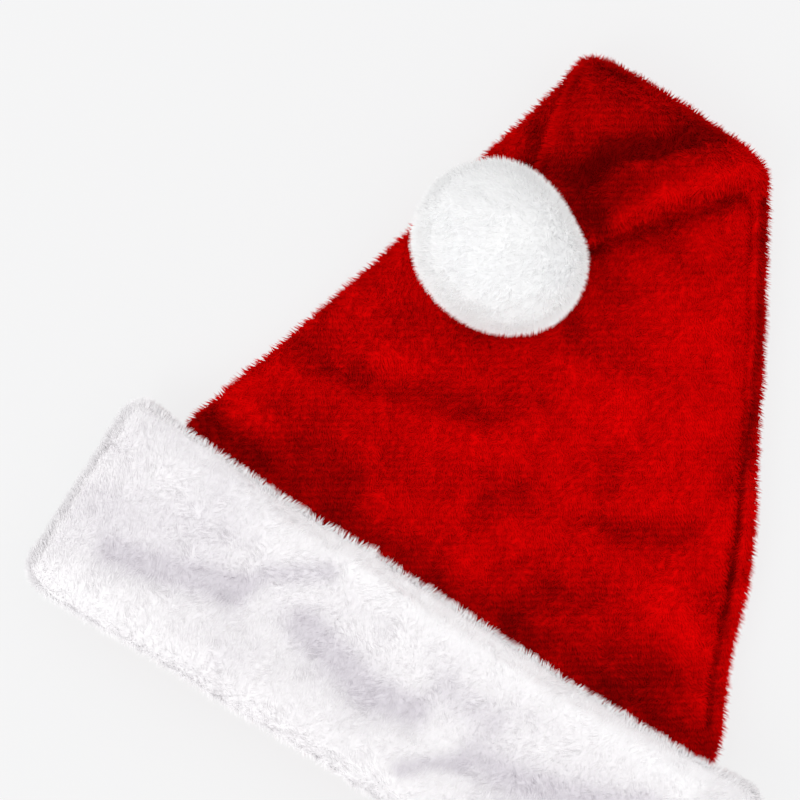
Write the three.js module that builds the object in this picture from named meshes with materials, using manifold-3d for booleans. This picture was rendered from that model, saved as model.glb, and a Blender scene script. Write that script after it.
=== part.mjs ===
// A pointed plush hat, lying flat with its peak folded over towards the cuff.
// Three pieces: a hollow red crown, a doubled white cuff round its mouth, and a white pompom.
// Millimetres, +Z up. X runs across the hat and Y up it, from the cuff's top edge.
import * as THREE from 'three';
import { mergeVertices } from 'three/addons/utils/BufferGeometryUtils.js';
import Module from 'manifold-3d';

// Crown
const CROWN_WIDTH = 273; // across the crown where it leaves the cuff
const CROWN_HEIGHT = 230.5; // from the cuff's top edge to the fold
const MOUTH_WIDTH = 284; // across the crown at its mouth, inside the cuff
const CROWN_WALL = 3; // plush cloth with its pile
const CROWN_LOFT = 28; // height of the lying crown above the cuff
const MOUTH_LOFT = 26; // thickness of the flattened crown inside the cuff
const SETTLE = 36; // length over which the crown comes down from the cuff to the table
const CREASE_HEIGHT = 7; // height of the crown's side creases
const SEAM_INSET = 8.5; // side seam to the crown's right edge
const SEAM_DEPTH = 2.6; // groove of the side seam
const LEFT_CREASE = 5; // cloth doubled at the left edge, where there is no seam

// Fold and peak
const FOLD_LOFT = 18.5; // thickness of the crown at the fold
const FOLD_EASE = 1.5; // radius of the crease inside the fold
const PEAK_REACH = 96.5; // from the fold back to the pompom's centre
const PEAK_TIP = 0.2; // width of the peak's end, as a share of the peak's width there
const PEAK_TAPER = 0.7; // share of the depth in the pompom over which it narrows
const PEAK_LOFT = 12; // thickness of the peak where it enters the pompom
const PEAK_DEPTH = 22; // how far the peak goes into the pompom
const DRAPE = 34; // length over which the peak sinks onto the crown

// Cuff
const CUFF_HEIGHT = 88.4; // of the doubled band, without the tufts at its edges
const CUFF_WIDTH = 322; // across the flattened band, without the tufts
const CUFF_WALL = 9.6; // doubled plush
const CUFF_BACK = 4; // the same where the hat lies on it and presses it flat
const CUFF_DROP = 4.2; // from the crown's base line down to the band's top edge
const CUFF_TUFT = 3.4; // length of its tufts
const HEM = 4; // from the band's lower edge up to the crown's rim

// Pompom
const POMPOM_WIDTH = 70; // of its core, across the hat and in height
const POMPOM_LENGTH = 60; // of its core, along the hat
const POMPOM_TURN = -20; // degrees from straight across the hat to its long side
const POMPOM_TUFT = 4; // length of its tufts
const POMPOM_SINK = 4; // how far its own weight flattens it

// Clearances
const FIT = 0.4; // between pieces that touch
const RECESS_EASE = 0.6; // round the peak's end, inside the pompom
const RECESS_START = 12; // how far outside the pompom's core its recess begins
const REST = 1.2; // under what lies on the uneven crown
const SIDE_EASE = 2.5; // inside the cuff, beside the crown's side creases

// How full the flattened sections are: 2 is a lens, 8 is nearly a slab
const CROWN_FULLNESS = 3.2;
const SLEEVE_FULLNESS = 4; // the cuff's hollow
const CUFF_FULLNESS = 7;
const ROUND = 2.2; // shape of the section's shoulder
const TUCK = 2.4; // how quickly the underside comes down to the table
const SLEEVE_TUCK = 3.2; // the same in the cuff's hollow
const CUFF_TUCK = 1.6; // the same outside the cuff
const LOFT_BEND = 1.3; // how the loft falls towards the fold: 1 is straight
const PEAK_RIM = 0.45; // height of the peak's edges, as a share of its thickness
const NARROW = 0.35; // share of the crown's width under which the columns at the edges close up

// The side seam's section, in shares of its inset and of its depth
const SEAM_SECTION = { groove: 0.24, stripAt: 0.5, strip: 0.3, stripRise: 0.6 };

// Where the folds fade out: share of the way up to the fold, and shares of the turn over it
const FRONT_FOLDS_END = 0.85;
const PEAK_FOLDS_START = [0.5, 0.9];

// Tufts, in shares of their length and of the face that they stand on
const SHORTEST_TUFT = 0.7;
const TUFT_LEAN = 0.3;

// The crown's edges. up: share of its height. left, right: share of half its width.
const CROWN_EDGES = [
  { up: 0, left: -1, right: 0.995 },
  { up: 0.157, left: -0.918, right: 0.878 },
  { up: 0.33, left: -0.822, right: 0.774 },
  { up: 0.53, left: -0.724, right: 0.59 },
  { up: 0.757, left: -0.632, right: 0.378 },
  { up: 0.887, left: -0.58, right: 0.248 },
  { up: 1, left: -0.541, right: 0.145 },
];

// The folded peak's edges. down: share of its reach. left, right: share of half the crown's width.
const PEAK_EDGES = [
  { down: 0, left: -0.54, right: 0.125 },
  { down: 0.222, left: -0.536, right: 0.045 },
  { down: 0.3, left: -0.524, right: 0.005 },
  { down: 0.425, left: -0.505, right: -0.085 },
  { down: 0.56, left: -0.474, right: -0.15 },
  { down: 0.715, left: -0.475, right: -0.22 },
  { down: 1, left: -0.556, right: -0.345 },
];

// Folds in the crown's front. fromX, toX: share of half its width. fromY, toY: share of its height.
// spread: share of its height. rise: share of its loft.
const CROWN_FOLDS = [
  { fromX: -0.81, fromY: 0.245, toX: -0.23, toY: 0.31, spread: 0.04, rise: -0.17 }, // long trough, left
  { fromX: 0.33, fromY: 0.26, toX: 0.53, toY: 0.35, spread: 0.038, rise: -0.15 }, // short trough, right
  { fromX: 0.23, fromY: 0.09, toX: 0.24, toY: 0.09, spread: 0.085, rise: -0.1 },
  { fromX: 0.64, fromY: 0.04, toX: 0.65, toY: 0.04, spread: 0.085, rise: -0.1 },
  { fromX: -0.48, fromY: 0.06, toX: -0.47, toY: 0.06, spread: 0.085, rise: -0.1 },
  { fromX: 0.01, fromY: 0.24, toX: -0.06, toY: 0.11, spread: 0.035, rise: -0.09 },
  { fromX: -0.12, fromY: 0.29, toX: 0.1, toY: 0.22, spread: 0.07, rise: 0.08 },
  { fromX: 0.62, fromY: 0.23, toX: 0.63, toY: 0.23, spread: 0.08, rise: 0.08 },
  { fromX: 0.07, fromY: 0.72, toX: 0.35, toY: 0.49, spread: 0.09, rise: 0.07 },
];

// Folds in the peak's upper side. fromX, toX: share of half the crown's width.
// fromY, toY: share of its reach, down from the fold. spread: share of its reach.
// rise: share of the fold's loft.
const PEAK_FOLDS = [
  { fromX: -0.03, fromY: 0.05, toX: -0.18, toY: 0.19, spread: 0.067, rise: -0.2 },
  { fromX: -0.22, fromY: 0.24, toX: -0.33, toY: 0.34, spread: 0.067, rise: -0.22 },
  { fromX: -0.34, fromY: 0.405, toX: -0.32, toY: 0.5, spread: 0.058, rise: -0.16 },
  { fromX: -0.44, fromY: 0.155, toX: -0.42, toY: 0.19, spread: 0.135, rise: 0.16 },
  { fromX: 0.02, fromY: 0.135, toX: -0.2, toY: 0.655, spread: 0.048, rise: 0.14 }, // rolled lower edge
];

// The cuff's wall, once round it. up: share of its height. out: 0 on the crown's side, 1 outside.
// swell: share of the cuff's wall, on its front.
const CUFF_SECTION = [
  { up: 0, out: 0.5, swell: 0 },
  { up: 0.02, out: 0.84, swell: 0 },
  { up: 0.07, out: 1, swell: 0.1 },
  { up: 0.16, out: 1, swell: 0.26 },
  { up: 0.26, out: 1, swell: 0.16 },
  { up: 0.37, out: 1, swell: -0.14 },
  { up: 0.49, out: 1, swell: -0.26 },
  { up: 0.61, out: 1, swell: -0.14 },
  { up: 0.73, out: 1, swell: 0.06 },
  { up: 0.85, out: 1, swell: 0.16 },
  { up: 0.94, out: 1, swell: 0.04 },
  { up: 0.985, out: 0.92, swell: 0 },
  { up: 1, out: 0.6, swell: 0 },
  { up: 0.985, out: 0.18, swell: 0 },
  { up: 0.85, out: 0, swell: 0 },
  { up: 0.5, out: 0, swell: 0 },
  { up: 0.15, out: 0, swell: 0 },
  { up: 0.02, out: 0.14, swell: 0 },
];

// Folds in the cuff's front. fromX, toX: share of half its width. fromY, toY: share of its height.
// spread: share of its height. rise: share of its wall.
const CUFF_FOLDS = [
  { fromX: -0.84, fromY: 0.36, toX: -0.5, toY: 0.52, spread: 0.13, rise: -0.3 },
  { fromX: -0.32, fromY: 0.45, toX: 0.52, toY: 0.46, spread: 0.14, rise: -0.22 },
  { fromX: -0.42, fromY: 0.62, toX: -0.3, toY: 0.84, spread: 0.1, rise: -0.16 },
  { fromX: -0.2, fromY: 0.2, toX: -0.12, toY: 0.24, spread: 0.18, rise: 0.16 },
];

// How finely the surfaces are divided
const FRONT_COLUMNS = 19;
const BACK_COLUMNS = 10;
const LEFT_COLUMNS = [0.3, 0.9, 1.8]; // beside the left edge, in shares of the crease there
const SEAM_COLUMNS = [0.25, 0.55, 0.8, 1, 1.25, 1.75]; // beside the right edge, in the seam's insets
const SLEEVE_ROWS = 4;
const CROWN_ROWS = 22;
const TURN_ROWS = 10;
const PEAK_ROWS = 12;
const CUFF_FRONT_COLUMNS = 40;
const CUFF_BACK_COLUMNS = 14;
const CUFF_CROWDING = 0.45; // 0 spaces the cuff's front columns evenly, 1 crowds them at its ends
const POMPOM_DETAIL = 5;
const LYING_SAMPLES = 8; // round each point of the pompom that may lie on the crown

// Sizes that follow from those above
const HALF = CROWN_WIDTH / 2;
const TURN_Z = FOLD_LOFT + FOLD_EASE; // axis of the fold, above the table
const TURN_Y = CROWN_HEIGHT - TURN_Z;
const MOUTH_Y = HEM - CUFF_DROP - CUFF_HEIGHT;
const SLEEVE_BASE = CUFF_BACK + FIT; // the crown's underside inside the cuff
const POMPOM_Y = CROWN_HEIGHT - PEAK_REACH;
const POMPOM_RADIUS = POMPOM_WIDTH / 2;
const PEAK_MEETS = TURN_Y - POMPOM_Y - POMPOM_LENGTH / 2; // from the fold's axis to the pompom
const PEAK_END = PEAK_MEETS + PEAK_DEPTH;
const PEAK_START = PEAK_MEETS - RECESS_START; // where the pompom's recess starts

const mix = THREE.MathUtils.lerp;
const smooth = THREE.MathUtils.smoothstep;

// A smooth curve through one column of a table whose rows are in order of their key column.
function follow(table, key, column, at) {
  const last = table.length - 1;
  const slope = (i) => {
    const low = table[Math.max(i - 1, 0)];
    const high = table[Math.min(i + 1, last)];
    return (high[column] - low[column]) / (high[key] - low[key]);
  };
  let i = 0;
  while (i < last - 1 && at > table[i + 1][key]) i += 1;
  const step = table[i + 1][key] - table[i][key];
  const t = THREE.MathUtils.clamp((at - table[i][key]) / step, 0, 1);
  const rise = table[i + 1][column] - table[i][column];
  const bend = (1 - t) * (slope(i) * step - rise) - t * (slope(i + 1) * step - rise);
  return table[i][column] + t * rise + t * (1 - t) * bend;
}

// Height of a section's shoulder: 1 in its middle, 0 at its edges (across is -1 to 1).
function dome(across, fullness) {
  const side = Math.min(Math.abs(across), 1);
  return (1 - side ** fullness) ** (1 / ROUND);
}

// Sum of soft creases and swells, each along a straight stretch between two points.
function relief(folds, x, y, width, length, height) {
  let sum = 0;
  for (const fold of folds) {
    const from = new THREE.Vector2(fold.fromX * width, fold.fromY * length);
    const to = new THREE.Vector2(fold.toX * width, fold.toY * length);
    const along = to.clone().sub(from);
    const here = new THREE.Vector2(x, y).sub(from);
    const t = THREE.MathUtils.clamp(here.dot(along) / along.lengthSq(), 0, 1);
    const away = here.sub(along.multiplyScalar(t)).length() / (fold.spread * length);
    sum += fold.rise * height * Math.exp(-away * away);
  }
  return sum;
}

// A closed surface made of rings of corners, each joined to the one before.
class Surface {
  corners = [];
  faces = [];

  add(points) {
    const first = this.corners.length;
    this.corners.push(...points);
    return points.map((_, i) => first + i);
  }

  // Quads between two rings. tip(i) gives the point of the tuft on quad i, or nothing for a bare quad.
  band(before, after, tip = () => null) {
    before.forEach((a, i) => {
      const next = (i + 1) % before.length;
      const quad = [a, after[i], after[next], before[next]];
      const point = tip(quad.map((corner) => this.corners[corner]), i);
      if (point) {
        const [top] = this.add([point]);
        quad.forEach((corner, k) => this.faces.push([corner, quad[(k + 1) % 4], top]));
      } else {
        this.faces.push([quad[0], quad[1], quad[2]], [quad[0], quad[2], quad[3]]);
      }
    });
  }

  // Closes a ring with a fan: at the end of the chain of rings, or at its start.
  close(ring, point, atStart = false) {
    const [centre] = this.add([point]);
    ring.forEach((corner, i) => {
      const next = ring[(i + 1) % ring.length];
      this.faces.push(atStart ? [next, centre, corner] : [corner, centre, next]);
    });
  }

  geometry() {
    const shape = new THREE.BufferGeometry();
    const numbers = this.corners.flatMap((corner) => corner.toArray());
    shape.setAttribute('position', new THREE.Float32BufferAttribute(numbers, 3));
    shape.setIndex(this.faces.flat());
    return shape;
  }
}

// Crown: sections of the part that lies on the table

const settled = (y) => smooth(y, 0, SETTLE);
const base = (y) => mix(SLEEVE_BASE, 0, settled(y));
const edgeLift = (y) => mix(MOUTH_LOFT / 2, CREASE_HEIGHT, settled(y));

function crownEdgeAt(y, side) {
  const sleeve = ((MOUTH_WIDTH - CROWN_WIDTH) / 2) * Math.max(y / MOUTH_Y, 0);
  const share = follow(CROWN_EDGES, 'up', side, Math.max(y, 0) / CROWN_HEIGHT);
  return share * HALF + Math.sign(share) * sleeve;
}

function crownTop(y) {
  const onTable = mix(CROWN_LOFT, FOLD_LOFT, (Math.max(y, 0) / TURN_Y) ** LOFT_BEND);
  return mix(SLEEVE_BASE + MOUTH_LOFT, onTable, settled(y));
}

// Groove and raised strip along the side seam, where away is the distance in from the right edge.
function seam(away, scale) {
  const inset = away / scale / SEAM_INSET;
  const groove = (inset - 1) / SEAM_SECTION.groove;
  const strip = (inset - SEAM_SECTION.stripAt) / SEAM_SECTION.strip;
  const rise = SEAM_SECTION.stripRise * Math.exp(-strip * strip) - Math.exp(-groove * groove);
  return scale * SEAM_DEPTH * rise;
}

// Height of the lying crown's front over a point of the table.
function crownFront(x, y) {
  const left = crownEdgeAt(y, 'left');
  const right = crownEdgeAt(y, 'right');
  const shoulder = dome((2 * x - left - right) / (right - left), CROWN_FULLNESS);
  const floor = base(y) + edgeLift(y);
  const flatEnds = smooth(y, 0, SETTLE / 2) * (1 - smooth(y, FRONT_FOLDS_END * TURN_Y, TURN_Y));
  const folds = relief(CROWN_FOLDS, x, y, HALF, CROWN_HEIGHT, CROWN_LOFT) * flatEnds;
  const groove = seam(right - x, 1) * settled(y);
  return floor + (crownTop(y) + folds - floor) * shoulder + groove * Math.min(1, 4 * shoulder);
}

function crownBack(across, y) {
  return base(y) + edgeLift(y) * Math.max(0, 1 - TUCK * dome(across, CROWN_FULLNESS));
}

// Crown: sections of the folded peak, where down is the distance back from the fold's axis

function peakEdgeAt(down, side) {
  return follow(PEAK_EDGES, 'down', side, (down + TURN_Z) / PEAK_REACH) * HALF;
}

const peakLoft = (down) => mix(FOLD_LOFT, PEAK_LOFT, smooth(down, 0, PEAK_END));

// The peak's lower side: level just behind the fold, then lying on the crown.
function peakUnder(x, down) {
  const lying = crownFront(x, TURN_Y - down) + REST;
  return mix(TURN_Z + FOLD_EASE, lying, smooth(down, 0, DRAPE));
}

function peakSide(across, down, isFront, x, folded = 1) {
  const shoulder = dome(across, CROWN_FULLNESS);
  const rim = PEAK_RIM * peakLoft(down);
  const under = peakUnder(x, down);
  if (isFront) return under + rim * Math.max(0, 1 - TUCK * shoulder);
  const folds = relief(PEAK_FOLDS, x, down + TURN_Z, HALF, PEAK_REACH, FOLD_LOFT);
  return under + rim + (peakLoft(down) - rim + folded * folds) * shoulder;
}

// One ring of the crown. Rings start at the right edge, cross the front and come back under.
// inset is 0 for the outer skin and the wall's thickness for the inner one.

// How far a narrow ring closes up what lies beside its edges.
const closeUp = (width) => Math.min(1, width / (NARROW * CROWN_WIDTH));

// Places across a ring, from 1 to -1 without the ends, closer together towards both edges.
function spaced(count) {
  return Array.from({ length: count }, (_, i) => Math.cos((Math.PI * (i + 1)) / (count + 1)));
}

function frontColumns(width) {
  const unit = (2 * closeUp(width)) / width;
  const right = SEAM_COLUMNS.map((share) => 1 - share * SEAM_INSET * unit);
  const left = LEFT_COLUMNS.map((share) => -1 + share * LEFT_CREASE * unit);
  const middle = [];
  for (let i = 1; i <= FRONT_COLUMNS; i += 1) {
    middle.push(mix(right.at(-1), left.at(-1), i / (FRONT_COLUMNS + 1)));
  }
  return [...right, ...middle, ...left.reverse()];
}

// A ring from its two edges, and height(x, isFront) for the outer skin at a place across it.
function ring(left, right, inset, height, place) {
  const width = right - left;
  const scale = inset > 0 ? closeUp(width) : 0;
  const inLeft = left + LEFT_CREASE * scale;
  const inRight = right - SEAM_INSET * scale;
  const at = (share) => mix(inLeft, inRight, (share + 1) / 2);
  const edge = (x) => place(x, (height(x, true) + height(x, false)) / 2);
  const outer = frontColumns(width);
  const front = inset > 0 ? spaced(outer.length) : outer;
  const back = spaced(BACK_COLUMNS).reverse();
  const skin = (isFront) => (share) => {
    const x = at(share);
    const towards = Math.sign(height(x, !isFront) - height(x, isFront));
    return place(x, height(x, isFront) + inset * towards);
  };
  return [edge(inRight), ...front.map(skin(true)), edge(inLeft), ...back.map(skin(false))];
}

const acrossAt = (x, left, right) => (2 * x - left - right) / (right - left);

function lyingRing(y, inset) {
  const left = crownEdgeAt(y, 'left');
  const right = crownEdgeAt(y, 'right');
  const back = (x) => crownBack(acrossAt(x, left, right), y);
  const height = (x, isFront) => (isFront ? crownFront(x, y) : back(x));
  return ring(left, right, inset, height, (x, z) => new THREE.Vector3(x, y, z));
}

// Round the fold a section's height becomes its distance from the fold's axis.
function turnRing(share, inset) {
  const across = Math.sin(share * Math.PI);
  const down = -Math.cos(share * Math.PI);
  const crownX = (at) => mix(crownEdgeAt(TURN_Y, 'left'), crownEdgeAt(TURN_Y, 'right'), (at + 1) / 2);
  const peakX = (at) => mix(peakEdgeAt(0, 'left'), peakEdgeAt(0, 'right'), (at + 1) / 2);
  const left = mix(crownX(-1), peakX(-1), share);
  const right = mix(crownX(1), peakX(1), share);
  const folds = smooth(share, ...PEAK_FOLDS_START);
  const height = (x, isFront) => {
    const at = acrossAt(x, left, right);
    const lying = isFront ? crownFront(crownX(at), TURN_Y) : crownBack(at, TURN_Y);
    const folded = peakSide(at, -TURN_Z * across, isFront, peakX(at), folds);
    return mix(TURN_Z - lying, folded - TURN_Z, share);
  };
  const place = (x, radius) => new THREE.Vector3(x, TURN_Y + radius * across, TURN_Z + radius * down);
  return ring(left, right, inset, height, place);
}

function peakRing(down, inset) {
  const left = peakEdgeAt(down, 'left');
  const right = peakEdgeAt(down, 'right');
  const taper = smooth(down, PEAK_END - PEAK_TAPER * PEAK_DEPTH, PEAK_END);
  const closing = Math.max(PEAK_TIP, Math.sqrt(1 - taper ** 2));
  const middle = (left + right) / 2;
  const narrow = (edge) => mix(middle, edge, closing);
  const height = (x, isFront) => peakSide(acrossAt(x, narrow(left), narrow(right)), down, isFront, x);
  const place = (x, z) => new THREE.Vector3(x, TURN_Y - down, z);
  return ring(narrow(left), narrow(right), inset, height, place);
}

// The rings of one skin from the mouth to the peak's end; every is 2 to leave out alternate rings.
function crownRings(inset, every, peakStop) {
  const rings = [];
  for (let i = 0; i <= SLEEVE_ROWS; i += 1) {
    rings.push(lyingRing(mix(MOUTH_Y, 0, i / SLEEVE_ROWS), inset));
  }
  for (let i = 1; i < CROWN_ROWS; i += every) {
    rings.push(lyingRing((TURN_Y * i) / CROWN_ROWS, inset));
  }
  for (let i = 0; i <= TURN_ROWS; i += 1) {
    rings.push(turnRing(i / TURN_ROWS, inset));
  }
  for (let i = every; i <= PEAK_ROWS; i += every) {
    rings.push(peakRing((peakStop * i) / PEAK_ROWS, inset));
  }
  return rings;
}

function middleOf(points) {
  const sum = new THREE.Vector3();
  points.forEach((point) => sum.add(point));
  return sum.divideScalar(points.length);
}

function crownGeometry() {
  const surface = new Surface();
  const inner = crownRings(CROWN_WALL, 2, PEAK_START - CROWN_WALL).reverse();
  const outer = crownRings(0, 1, PEAK_END);
  const chain = [...inner, ...outer].map((points) => surface.add(points));
  surface.close(chain[0], middleOf(inner[0]).add(new THREE.Vector3(0, -CROWN_WALL, 0)), true);
  for (let i = 1; i < chain.length; i += 1) surface.band(chain[i - 1], chain[i]);
  surface.close(chain.at(-1), middleOf(outer.at(-1)).add(new THREE.Vector3(0, -FIT, 0)));
  return surface.geometry();
}

// Cuff

const CUFF_BOTTOM = -CUFF_DROP - CUFF_HEIGHT;

// A point of the cuff: share across its width, share up its height, and out from the crown's side.
function cuffPoint(across, row, isFront) {
  const y = CUFF_BOTTOM + row.up * CUFF_HEIGHT;
  const left = crownEdgeAt(y, 'left') - SIDE_EASE;
  const right = crownEdgeAt(y, 'right') + SIDE_EASE;
  const innerX = mix(left, right, (across + 1) / 2);
  const outerX = (across * CUFF_WIDTH) / 2;
  const shoulder = dome(across, CUFF_FULLNESS);
  const crownShoulder = dome(across, SLEEVE_FULLNESS);
  const edge = SLEEVE_BASE + MOUTH_LOFT / 2;
  const top = SLEEVE_BASE + MOUTH_LOFT + FIT;
  if (isFront) {
    const swell = row.swell * CUFF_WALL;
    const up = row.up * CUFF_HEIGHT;
    const folds = relief(CUFF_FOLDS, outerX, up, CUFF_WIDTH / 2, CUFF_HEIGHT, CUFF_WALL);
    const outerZ = edge + (top + CUFF_WALL + swell + folds - edge) * shoulder;
    const innerZ = edge + (top - edge) * crownShoulder;
    return new THREE.Vector3(mix(innerX, outerX, row.out), y, mix(innerZ, outerZ, row.out));
  }
  const outerZ = edge * Math.max(0, 1 - CUFF_TUCK * shoulder);
  const innerZ = mix(CUFF_BACK, edge, Math.max(0, 1 - SLEEVE_TUCK * crownShoulder));
  return new THREE.Vector3(mix(innerX, outerX, row.out), y, mix(innerZ, outerZ, row.out));
}

function cuffRing(row) {
  const points = [cuffPoint(1, row, true)];
  for (let i = 1; i <= CUFF_FRONT_COLUMNS; i += 1) {
    const even = 1 - (2 * i) / (CUFF_FRONT_COLUMNS + 1);
    const crowded = Math.sin((even * Math.PI) / 2);
    points.push(cuffPoint(mix(even, crowded, CUFF_CROWDING), row, true));
  }
  points.push(cuffPoint(-1, row, true));
  spaced(CUFF_BACK_COLUMNS).reverse().forEach((across) => points.push(cuffPoint(across, row, false)));
  return points;
}

// A number from 0 to 1 that looks random and is the same each time.
const scatter = (seed) => THREE.MathUtils.euclideanModulo(Math.sin(seed * 12.9898) * 43758.5453, 1);

// The point of a tuft standing on a face, leaning a little to one side.
function tuftTip(corners, length, seed) {
  const along = corners[1].clone().sub(corners[0]);
  const across = corners.at(-1).clone().sub(corners[0]);
  const out = along.clone().cross(across).normalize();
  return middleOf(corners)
    .addScaledVector(out, length * mix(SHORTEST_TUFT, 1, scatter(seed + 3)))
    .addScaledVector(along, TUFT_LEAN * (scatter(seed) - 0.5))
    .addScaledVector(across, TUFT_LEAN * (scatter(seed + 7) - 0.5));
}

function cuffGeometry() {
  const surface = new Surface();
  const chain = CUFF_SECTION.map((row) => surface.add(cuffRing(row)));
  CUFF_SECTION.forEach((row, k) => {
    const next = (k + 1) % CUFF_SECTION.length;
    const outside = Math.min(row.out, CUFF_SECTION[next].out) >= 0.5;
    const tufts = (corners, i) => {
      if (!outside || i > CUFF_FRONT_COLUMNS) return null;
      return tuftTip(corners, CUFF_TUFT, 100 * k + i);
    };
    surface.band(chain[k], chain[next], tufts);
  });
  return surface.geometry();
}

// Pompom

const POMPOM_X = (peakEdgeAt(TURN_Y - POMPOM_Y, 'left') + peakEdgeAt(TURN_Y - POMPOM_Y, 'right')) / 2;
const POMPOM_Z = crownFront(POMPOM_X, POMPOM_Y) + REST + POMPOM_RADIUS - POMPOM_SINK;

// A point of the pompom, kept above the highest part of the crown within reach of its faces.
function lieOnCrown(point) {
  const reach = POMPOM_RADIUS / (POMPOM_DETAIL + 1);
  let highest = crownFront(point.x, point.y);
  for (let i = 0; i < LYING_SAMPLES; i += 1) {
    const angle = (2 * Math.PI * i) / LYING_SAMPLES;
    const here = crownFront(point.x + reach * Math.cos(angle), point.y + reach * Math.sin(angle));
    highest = Math.max(highest, here);
  }
  return new THREE.Vector3(point.x, point.y, Math.max(point.z, highest + REST));
}

function pompomGeometry() {
  const ball = new THREE.IcosahedronGeometry(POMPOM_RADIUS, POMPOM_DETAIL);
  ball.deleteAttribute('normal');
  ball.deleteAttribute('uv');
  ball.scale(1, POMPOM_LENGTH / POMPOM_WIDTH, 1).rotateZ(THREE.MathUtils.degToRad(POMPOM_TURN));
  const core = mergeVertices(ball.translate(POMPOM_X, POMPOM_Y, POMPOM_Z));
  const surface = new Surface();
  const corners = [];
  for (let i = 0; i < core.attributes.position.count; i += 1) {
    corners.push(new THREE.Vector3().fromBufferAttribute(core.attributes.position, i));
  }
  surface.add(corners.map(lieOnCrown));
  const pressed = corners.map((corner, i) => surface.corners[i].z > corner.z);
  for (let i = 0; i < core.index.count; i += 3) {
    const face = [0, 1, 2].map((k) => core.index.getX(i + k));
    if (face.some((corner) => pressed[corner])) {
      surface.faces.push(face);
    } else {
      const tip = tuftTip(face.map((corner) => surface.corners[corner]), POMPOM_TUFT, i);
      const [top] = surface.add([tip]);
      face.forEach((corner, k) => surface.faces.push([corner, face[(k + 1) % 3], top]));
    }
  }
  return surface.geometry();
}

// The space that the peak's end needs inside the pompom.
function recessGeometry() {
  const surface = new Surface();
  const rings = [];
  for (let i = Math.floor((PEAK_START / PEAK_END) * PEAK_ROWS); i <= PEAK_ROWS; i += 1) {
    const points = peakRing((PEAK_END * i) / PEAK_ROWS, 0);
    const middle = middleOf(points);
    const outward = points.map((point) => point.clone().sub(middle).normalize());
    rings.push(points.map((point, k) => point.addScaledVector(outward[k], RECESS_EASE)));
  }
  const chain = rings.map((points) => surface.add(points));
  surface.close(chain[0], middleOf(rings[0]), true);
  for (let i = 1; i < chain.length; i += 1) surface.band(chain[i - 1], chain[i]);
  const end = middleOf(rings.at(-1));
  end.y -= FIT + 2 * RECESS_EASE;
  surface.close(chain.at(-1), end);
  return surface.geometry();
}

const wasm = await Module();
wasm.setup();

function toSolid(shape) {
  return new wasm.Manifold(new wasm.Mesh({
    numProp: 3,
    vertProperties: new Float32Array(shape.attributes.position.array),
    triVerts: new Uint32Array(shape.index.array),
  }));
}

function toGeometry(solid) {
  const result = solid.getMesh();
  const shape = new THREE.BufferGeometry();
  shape.setAttribute('position', new THREE.BufferAttribute(new Float32Array(result.vertProperties), 3));
  shape.setIndex(new THREE.BufferAttribute(new Uint32Array(result.triVerts), 1));
  return shape;
}

// A solid without the slivers that a cut may leave beside it.
function largest(solid) {
  return solid.decompose().reduce((most, piece) => (piece.volume() > most.volume() ? piece : most));
}

// Materials and the finished hat

const redPlush = new THREE.MeshStandardMaterial({ color: 0xa80404, roughness: 0.95, metalness: 0 });
const whitePlush = new THREE.MeshStandardMaterial({ color: 0xf4f2f5, roughness: 0.95, metalness: 0 });

function named(name, shape, material) {
  shape.computeVertexNormals();
  const mesh = new THREE.Mesh(shape, material);
  mesh.name = name;
  return mesh;
}

const laid = new THREE.Group();
laid.add(named('crown', crownGeometry(), redPlush));
laid.add(named('cuff', cuffGeometry(), whitePlush));
const pompom = largest(toSolid(pompomGeometry()).subtract(toSolid(recessGeometry())));
laid.add(named('pompom', toGeometry(pompom), whitePlush));

// The origin is under the middle of the hat, on the table.
const box = new THREE.Box3().setFromObject(laid);
laid.position.set(-(box.min.x + box.max.x) / 2, -(box.min.y + box.max.y) / 2, -box.min.z);

const hat = new THREE.Group();
hat.add(laid);

export default hat;
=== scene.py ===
# %% [markdown]
# A plush hat with a furry cuff and a pompom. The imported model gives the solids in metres: a hollow red
# crown with its peak folded over, a doubled white cuff and a white pompom. This lesson softens each of
# them into cloth, then grows a pile on it, because plush is nothing but short fibres on a backing.

# %% The frame that everything is built in
import math

import bpy
import numpy as np
from mathutils import Matrix, Vector
from mathutils.bvhtree import BVHTree


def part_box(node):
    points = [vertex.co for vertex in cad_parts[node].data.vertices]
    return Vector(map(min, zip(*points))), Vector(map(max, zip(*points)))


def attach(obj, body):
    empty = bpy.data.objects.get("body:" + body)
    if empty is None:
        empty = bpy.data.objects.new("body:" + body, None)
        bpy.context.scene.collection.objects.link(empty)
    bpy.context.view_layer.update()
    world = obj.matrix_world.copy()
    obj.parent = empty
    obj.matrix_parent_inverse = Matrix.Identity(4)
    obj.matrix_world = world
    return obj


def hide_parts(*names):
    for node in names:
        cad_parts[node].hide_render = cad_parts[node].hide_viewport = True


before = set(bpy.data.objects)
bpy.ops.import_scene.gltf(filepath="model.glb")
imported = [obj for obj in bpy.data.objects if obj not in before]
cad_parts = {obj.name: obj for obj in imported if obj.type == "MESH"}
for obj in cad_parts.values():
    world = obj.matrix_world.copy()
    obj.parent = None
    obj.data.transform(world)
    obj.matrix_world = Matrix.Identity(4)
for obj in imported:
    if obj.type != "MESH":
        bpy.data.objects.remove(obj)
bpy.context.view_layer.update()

MM = 0.001
CROWN_LOW, CROWN_HIGH = (Vector(corner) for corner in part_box("crown"))
CUFF_LOW, CUFF_HIGH = (Vector(corner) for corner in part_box("cuff"))
POMPOM_LOW, POMPOM_HIGH = (Vector(corner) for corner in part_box("pompom"))
print("crown", CROWN_LOW, CROWN_HIGH)
print("cuff", CUFF_LOW, CUFF_HIGH)
print("pompom", POMPOM_LOW, POMPOM_HIGH)

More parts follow.
